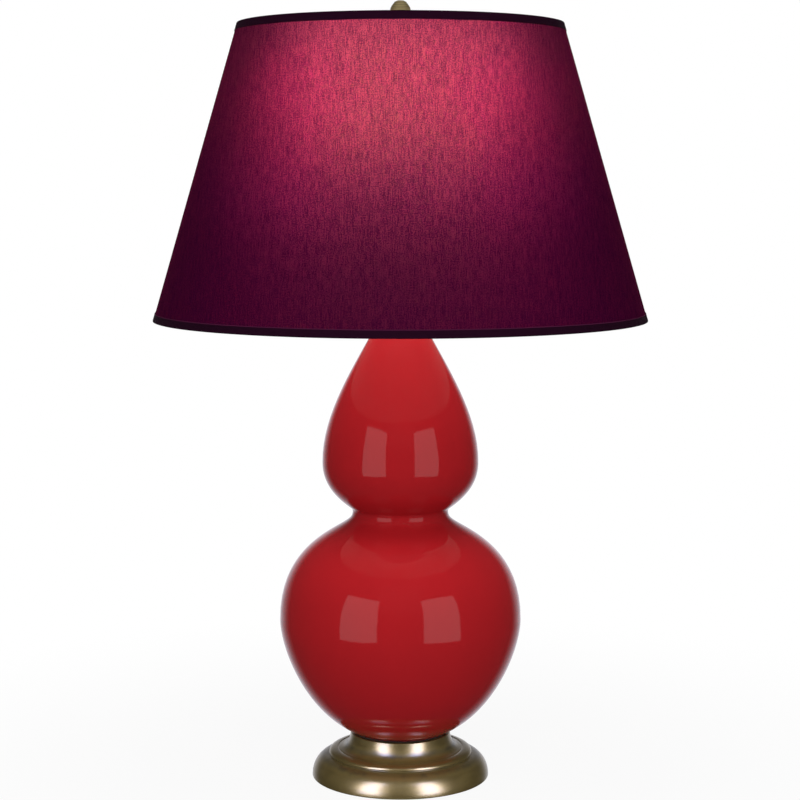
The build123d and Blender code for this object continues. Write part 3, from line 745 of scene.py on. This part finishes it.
# %% Gourd
gourd_wall = 6.0
gourd_hole = 9.0
lift = gourd_low / mm
base, base_turn = (47.5, 0.0), 66.0
belly = (123.1, 117.2)
waist = (48.6, waist_height)
head = (79.2, 278.9)
mouth, mouth_turn = (20.0, 427.5), 23.8


def along_from(point, length, turn):
    """A point at a length from another, turned from straight up towards the outside."""
    turn = math.radians(turn)
    return (point[0] + length * math.sin(turn), point[1] + length * math.cos(turn))


def fold_end(radius, turn, side):
    """Where the waist's fold of that radius has turned so far, above or below the waist."""
    turn = math.radians(turn)
    return (waist[0] + radius * (1 - math.cos(turn)), waist[1] + side * radius * math.sin(turn))


def arc_handle(radius, turn):
    return 4 / 3 * math.tan(math.radians(turn) / 4) * radius


# Radius of the fold and how far it turns, below and above the waist.
low_fold, high_fold = (10.4, 41.5), (5.6, 54.4)
below, above = fold_end(*low_fold, -1), fold_end(*high_fold, 1)
low_handle, high_handle = arc_handle(*low_fold), arc_handle(*high_fold)
gourd_stations = [
    ((gourd_hole, 0.0), None, None),
    (base, None, along_from(base, 56.96, base_turn)),
    (belly, (belly[0], belly[1] - 27.89), (belly[0], belly[1] + 77.24)),
    (below, along_from(below, 17.24, 180 - low_fold[1]),
     along_from(below, low_handle, -low_fold[1])),
    (waist, (waist[0], waist[1] - low_handle), (waist[0], waist[1] + high_handle)),
    (above, along_from(above, high_handle, 180 + high_fold[1]),
     along_from(above, 25.65, high_fold[1])),
    (head, (head[0], head[1] - 17.72), (head[0], head[1] + 55.58)),
    (mouth, along_from(mouth, 39.97, 180 - mouth_turn), None),
    ((gourd_hole, mouth[1]), None, None),
]
stations = [(point[0], point[1] + lift,
             None if before is None else (before[0], before[1] + lift),
             None if after is None else (after[0], after[1] + lift))
            for point, before, after in gourd_stations]
gourd = outline("glazed_gourd", stations, False, 18)
spun(gourd, 160)
soften(gourd, 1.2 * mm, sharpness=40, segments=3)
wall = gourd.modifiers.new("wall", "SOLIDIFY")
wall.thickness, wall.offset = gourd_wall * mm, -1
alone(gourd)
bpy.ops.object.modifier_apply(modifier="wall")
smooth(gourd)
done(gourd, "gourd_body", "base", "red_glaze")
gourd_only.objects.link(gourd)

# %% [markdown]
# ## Foot
# The foot is cast, then turned on a lathe: a rounded bell, a bead above it, and a hollow flare
# up to the collar that carries the gourd. Its section is closed all round, with the pocket for the
# felt below. The way in for the cable is cut through the back with a Boolean, as a drill would:
# a wide shallow hole for the gland's head, and a narrower one through the wall.

# %% Foot
# Radii, then heights, in millimetres.
rim, bell, bead, ledge, collar = 90.6, 72.5, 73.3, 64.2, 51.0
bell_top, bead_top, collar_top = 23.5, 29.8, 46.3
inner_collar, rod_hole = collar - 4.0, 5.1
foot_stations = [
    (rim - 4.2, 1.0, None, None), (rim - 0.8, 1.0, None, (rim - 0.3, 1.0)),
    (rim, 1.8, (rim, 1.3), (rim, 15.3)), (bell, bell_top, (bell + 9.0, bell_top), None),
    (bell - 0.4, bell_top + 0.5, None, None),
    (bead, bell_top + 1.9, (bead - 0.3, bell_top + 1.0), (bead, bell_top + 4.4)),
    (ledge, bead_top, (ledge + 4.5, bead_top), None), (ledge - 0.7, bead_top - 0.3, None, None),
    (ledge - 1.3, bead_top, None, (ledge - 8.7, bead_top)),
    (collar, collar_top - 0.8, (collar + 1.2, collar_top - 10.1), (collar, collar_top - 0.3)),
    (collar - 0.8, collar_top, (collar - 0.3, collar_top), None),
    (rod_hole, collar_top, None, None), (rod_hole, collar_top - 4.0, None, None),
    (inner_collar, collar_top - 4.0, None, None), (inner_collar, bead_top, None, None),
    (ledge - 5.3, bell_top, None, None), (bell, 19.5, None, None),
    (rim - 8.0, 9.8, None, None), (rim - 6.5, 2.5, None, None), (rim - 4.2, 2.5, None, None)]
foot = outline("turned_foot", foot_stations, True, 10)
spun(foot, 192)
gland_low, gland_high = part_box("cord_gland")
gland_height = (gland_low.z + gland_high.z) / 2
gland_radius = (gland_high.z - gland_low.z) / 2
head_play, head_depth = 0.3 * mm, 1.6 * mm
neck_less, neck_depth = 0.9 * mm, 18 * mm
drill_start = gland_high.y + 5 * mm


def drill(target, radius, depth):
    """Takes a round hole out of the target, from behind, to a depth under the gland's head."""
    end = gland_high.y - depth
    bpy.ops.object.select_all(action="DESELECT")
    bpy.ops.mesh.primitive_cylinder_add(vertices=48, radius=radius, depth=drill_start - end,
                                        location=(0, (end + drill_start) / 2, gland_height),
                                        rotation=(math.radians(90), 0, 0))
    bit = bpy.context.object
    cut = target.modifiers.new("cut", "BOOLEAN")
    cut.operation, cut.object, cut.solver = "DIFFERENCE", bit, "EXACT"
    alone(target)
    bpy.ops.object.modifier_apply(modifier="cut")
    bpy.data.objects.remove(bit)


drill(foot, gland_radius + head_play, head_depth)
drill(foot, gland_radius - neck_less, neck_depth)
smooth(foot, 28)
done(foot, "foot", "base", "antique_brass")
brass_only.objects.link(foot)

# %% [markdown]
# ## Finial
# The finial screws on the harp's stud and holds the shade down. It is turned from bar: a foot, a
# slim neck and a low dome cut with rings, each ring a small round step with a dark groove under it.

# %% Finial
finial_low, finial_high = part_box("finial")
tip = finial_high.z / mm
foot_of_finial = finial_low.z / mm
dome = tip - 10.5
dome_foot_radius, dome_narrows = 10.2, 5.6
stud_hole, stud_hole_top = 3.2, 769.4


def dome_radius(share):
    """Radius of the dome at a share of its height."""
    return dome_foot_radius - dome_narrows * share ** 1.6


rings = []
for count in range(finial_rings):
    radius = dome_radius(count / finial_rings)
    next_radius = dome_radius((count + 1) / finial_rings)
    low_of_ring = dome + 0.9 + ring_rise * count
    rings += [(radius, low_of_ring + 0.35, (radius, low_of_ring), (radius, low_of_ring + 0.9)),
              (next_radius + 0.15, low_of_ring + 1.55, (radius - 0.1, low_of_ring + 1.45), None)]
finial_stations = [
    (stud_hole, foot_of_finial, None, None), (6.0, foot_of_finial, None, None),
    (6.4, foot_of_finial + 0.5, None, None), (6.4, foot_of_finial + 2.6, None, None),
    (4.9, foot_of_finial + 4.0, (4.9, foot_of_finial + 3.4), (4.9, foot_of_finial + 10)),
    (9.2, dome, (5.6, dome - 2.4), None), *rings,
    (2.6, tip, (4.2, tip), None), (0.001, tip, None, None),
    (0.001, stud_hole_top, None, None), (stud_hole, stud_hole_top, None, None)]
finial = outline("turned_finial", finial_stations, True, 6)
spun(finial, 96)
smooth(finial, 40)
done(finial, "finial", "finial", "antique_brass", "handled_brass")

# %% [markdown]
# ## Felt pieces
# The pad under the foot keeps it from scratching the table, and a thin washer of dark felt lies
# between the collar and the gourd. Both start as a cylinder, get a round edge, and their faces are
# roughened a little, because cut wool is never flat.


# %% Felt pieces
def wool_disc(name, node, slot, edge, roughness):
    """A round piece of felt with rounded edges, in the box of its CAD node."""
    low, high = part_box(node)
    radius = (high.x - low.x) / 2
    bpy.ops.object.select_all(action="DESELECT")
    bpy.ops.mesh.primitive_cylinder_add(vertices=144, radius=radius, depth=high.z - low.z,
                                        location=(0, 0, (low.z + high.z) / 2), end_fill_type="NGON")
    piece = bpy.context.object
    piece.name = name
    edit(piece)
    bpy.ops.mesh.select_mode(type="FACE")
    bpy.ops.mesh.select_all(action="DESELECT")
    object_mode()
    for face in piece.data.polygons:
        face.select = abs(face.normal.z) > 0.9
    bpy.ops.object.mode_set(mode="EDIT")
    bpy.ops.mesh.inset(thickness=edge)
    for share in ring_shares:
        bpy.ops.mesh.inset(thickness=share * (radius - flat_middle))
    object_mode()
    outermost = [v for v in piece.data.vertices
                 if math.hypot(v.co.x, v.co.y) > radius - 0.01 * mm]
    for vertex in outermost:
        vertex.co.x *= 1 - 0.5 * edge / radius
        vertex.co.y *= 1 - 0.5 * edge / radius
        vertex.co.z *= 1 - 0.35 * edge / (high.z - low.z)
    for vertex in piece.data.vertices:
        if abs(vertex.co.z) < 0.49 * (high.z - low.z):
            continue
        bumpy = noise.noise(Vector((vertex.co.x, vertex.co.y, 0)) / lump_size)
        vertex.co.z -= math.copysign(abs(bumpy) * roughness, vertex.co.z)
    bpy.ops.object.transform_apply(location=True, rotation=True, scale=True)
    smooth(piece, 50)
    done(piece, node, "base", slot)


# Widths of the rings of faces, as shares of what lies outside the middle, and size of the lumps.
flat_middle = 10 * mm
ring_shares = (0.09, 0.225, 0.405)
lump_size = 9 * mm
wool_disc("felt_pad", "foot_felt", "felt", 0.8 * mm, 0.12 * mm)
wool_disc("felt_washer", "seat_gasket", "dark_felt", 0.3 * mm, 0.03 * mm)

# %% [markdown]
# ## Shade
# The cover is a flat cut of cloth, a sector of a wide ring, wrapped round until its ends overlap
# at the back. The mesh is that cut: a grid bent on the cone, one end lifted over the other by the
# thickness of the cloth. Its UV map is the flat cut in metres, so the threads stay parallel as in the
# real cloth. The triangles are listed so that their last side follows the threads, because the
# shader of the threads takes its direction from there.

# %% Shade cover
shade_low, shade_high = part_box("shade_liner")
cover_low, cover_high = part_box("shade_fabric")
tape_low, tape_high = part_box("bottom_trim")[0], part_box("top_trim")[1]
hem_radius = (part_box("bottom_trim")[1].x - tape_low.x) / 2
upper_tape_low, upper_tape_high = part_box("top_trim")
slope = ((hem_radius - (upper_tape_high.x - upper_tape_low.x) / 2)
         / (upper_tape_low.z - tape_low.z))
rim_radius = hem_radius - slope * (tape_high.z - tape_low.z)
half_angle = math.atan(slope)
cloth_thickness = 0.45 * mm
cloth_deep = 0.68 * mm
# Turns in radians over which the cloth climbs on its other end, and the tape on both.
cloth_climb, tape_climb = 0.05, 0.066
columns, rows = 264, 14


def cone_at(height, depth):
    """Radius of the cone at a height, at a depth under the outside of the tape."""
    return rim_radius + (tape_high.z - height) * slope - depth


def lap_rise(turn):
    """How much the overlap at the back lifts what lies on it; turn is 0 at the front."""
    from_back = abs(math.pi - abs(turn))
    return cloth_thickness * max(0.0, 1 - (from_back / tape_climb) ** 2)


def cone_point(turn, height, depth):
    radius = cone_at(height, depth)
    return (radius * math.sin(turn), -radius * math.cos(turn), height)


def flat_cut(turn, height):
    """Where a point of the cone lies on the flat cut, in metres."""
    slant = cone_at(height, 0) / math.sin(half_angle)
    swing = turn * math.sin(half_angle)
    return (slant * math.sin(swing), -slant * math.cos(swing))


points, faces, cuts = [], [], []
for row in range(rows + 1):
    height = cover_low.z + (cover_high.z - cover_low.z) * row / rows
    for column in range(columns + 1):
        turn = -math.pi + (2 * math.pi + lap_turn) * column / columns
        climbed = min(1.0, max(0.0, (turn - math.pi + cloth_climb) / cloth_climb))
        points.append(cone_point(turn, height, cloth_deep - cloth_thickness * climbed))
        cuts.append(flat_cut(turn, height))
for row in range(rows):
    for column in range(columns):
        a = row * (columns + 1) + column
        b, c, d = a + 1, a + columns + 2, a + columns + 1
        faces += [(c, a, b), (a, c, d)]


def cloth_mesh(name, points, faces, cuts):
    """A mesh whose UV map says where each point lies on the flat cut."""
    mesh = bpy.data.meshes.new(name)
    mesh.from_pydata(points, [], faces)
    flat = mesh.uv_layers.new(name="cloth")
    for loop in mesh.loops:
        flat.data[loop.index].uv = cuts[loop.vertex_index]
    for face in mesh.polygons:
        face.use_smooth = True
    piece = bpy.data.objects.new(name, mesh)
    bpy.context.scene.collection.objects.link(piece)
    return piece


cover = cloth_mesh("shade_cover", points, faces, cuts)
done(cover, "shade_fabric", "shade", "plum_fabric")
cloth_only.objects.link(cover)

# %% [markdown]
# ## Tape
# The tape is a closed section, drawn as the outline of the folded strip: down the outside, round
# the edge and up the inside, and back along the faces that are glued. It follows the cone round,
# rises over the overlap at the back, and wavers by a tenth of a millimetre as glued cloth does.


# %% Tape
# Depth under the outside, height from the edge and length along the strip, in millimetres.
section = [(0.50, 8.2, 0.0), (0.10, 8.05, 0.3), (0.0, 7.6, 0.8), (0.12, 6.9, 1.5),
           (0.16, 3.0, 5.4), (0.10, 1.0, 7.4), (0.35, 0.25, 8.3), (1.4, 0.0, 9.4),
           (2.3, 0.1, 10.3), (2.72, 0.5, 10.9), (2.75, 2.4, 12.8), (2.70, 2.95, 13.4),
           (2.2, 3.0, 13.9), (2.16, 2.0, 14.9), (2.12, 0.8, 16.0), (1.9, 0.62, 16.3),
           (0.8, 0.62, 17.4), (0.62, 0.9, 17.8), (0.60, 4.0, 20.9), (0.60, 8.0, 24.9)]
tape_width, inside = 8.2, 2.15
# The waver: how many lumps, and how far it moves the free edge and the face, in millimetres.
waver_lumps, edge_waver, face_waver = 3, 0.21, 0.049
free_edge_from, furthest_out = 6, 0.55
around = 240


def bound_edge(name, node, edge, inward):
    """Folded tape on an edge of the shade; inward is the way from the edge into the shade."""
    points, faces, cuts = [], [], []
    for column in range(around + 1):
        turn = -math.pi + 2 * math.pi * column / around
        waver = noise.noise(Vector((waver_lumps * math.cos(turn), waver_lumps * math.sin(turn),
                                    inward)))
        for depth, rise, along in section:
            outer = max(0.0, 1 - depth / inside)
            free = edge_waver * waver if rise > free_edge_from else 0.0
            depth_here = depth * mm - (lap_rise(turn) + face_waver * waver * mm) * outer
            points.append(cone_point(turn, edge + inward * (rise + free) * mm,
                                     max(depth_here, -furthest_out * mm)))
            cuts.append((turn * cone_at(edge, 0), (tape_width - along) * mm))
    count = len(section)
    for column in range(around):
        for step in range(count):
            a, b = column * count + step, column * count + (step + 1) % count
            round_face = (a, b, b + count, a + count)
            faces.append(round_face if inward > 0 else round_face[:1] + round_face[:0:-1])
    piece = cloth_mesh(name, points, faces, cuts)
    edit(piece)
    bpy.ops.mesh.remove_doubles(threshold=0.005 * mm)
    bpy.ops.mesh.normals_make_consistent(inside=False)
    object_mode()
    done(piece, node, "shade", "dark_tape")
    return piece


upper_tape = bound_edge("upper_tape", "top_trim", tape_high.z, -1)
lower_tape = bound_edge("lower_tape", "bottom_trim", tape_low.z, 1)

# %% [markdown]
# ## The flat cut
# Unrolled, the cover is a sector between two circles, whose radii are the slants of the cone at the
# hem and at the rim. The smallest rectangle around it is the piece of cloth it is cut from.

# %% [markdown]
# ## Backing card
# The card under the cloth is the same cone a little smaller. It starts as a cone with no ends, is
# divided once, and every point is set back on the round cone. Solidify gives it its thickness.

# %% Backing card
card_deep, card_thickness = 1.15 * mm, 0.9 * mm
card_middle = (shade_low.z + shade_high.z) / 2

bpy.ops.object.select_all(action="DESELECT")
bpy.ops.mesh.primitive_cone_add(
    vertices=192, end_fill_type="NOTHING", depth=shade_high.z - shade_low.z,
    radius1=cone_at(shade_low.z, card_deep), radius2=cone_at(shade_high.z, card_deep),
    location=(0, 0, card_middle))
backing = bpy.context.object
backing.name = "backing_card"
edit(backing)
bpy.ops.mesh.subdivide(number_cuts=1)
object_mode()
for vertex in backing.data.vertices:
    radius = cone_at(vertex.co.z + card_middle, card_deep)
    turn = math.atan2(vertex.co.x, -vertex.co.y)
    vertex.co.x, vertex.co.y = radius * math.sin(turn), -radius * math.cos(turn)
thick = backing.modifiers.new("thickness", "SOLIDIFY")
thick.thickness, thick.offset = card_thickness, -1
alone(backing)
bpy.ops.object.modifier_apply(modifier="thickness")
bpy.ops.object.transform_apply(location=True, rotation=True, scale=True)
smooth(backing, 40)
done(backing, "shade_liner", "shade", "pale_liner")

# %% [markdown]
# ## Finishes on the CAD pieces
# What is left of the lamp keeps its CAD shape. Each node that still shows gets the finish of its
# slot in the record, and the last line names any that was forgotten.

# %% Finishes on the CAD pieces
for part in frame["record"]["subparts"]:
    piece = frame["nodes"][part["node"]]
    if not piece.hide_render:
        piece.data.materials.clear()
        piece.data.materials.append(finishes[part["material_slot"]])
bare = [name for name, piece in frame["nodes"].items()
        if not piece.hide_render and not all(m and m.name in finishes for m in piece.data.materials)]
print("CAD nodes without a finish:", bare)
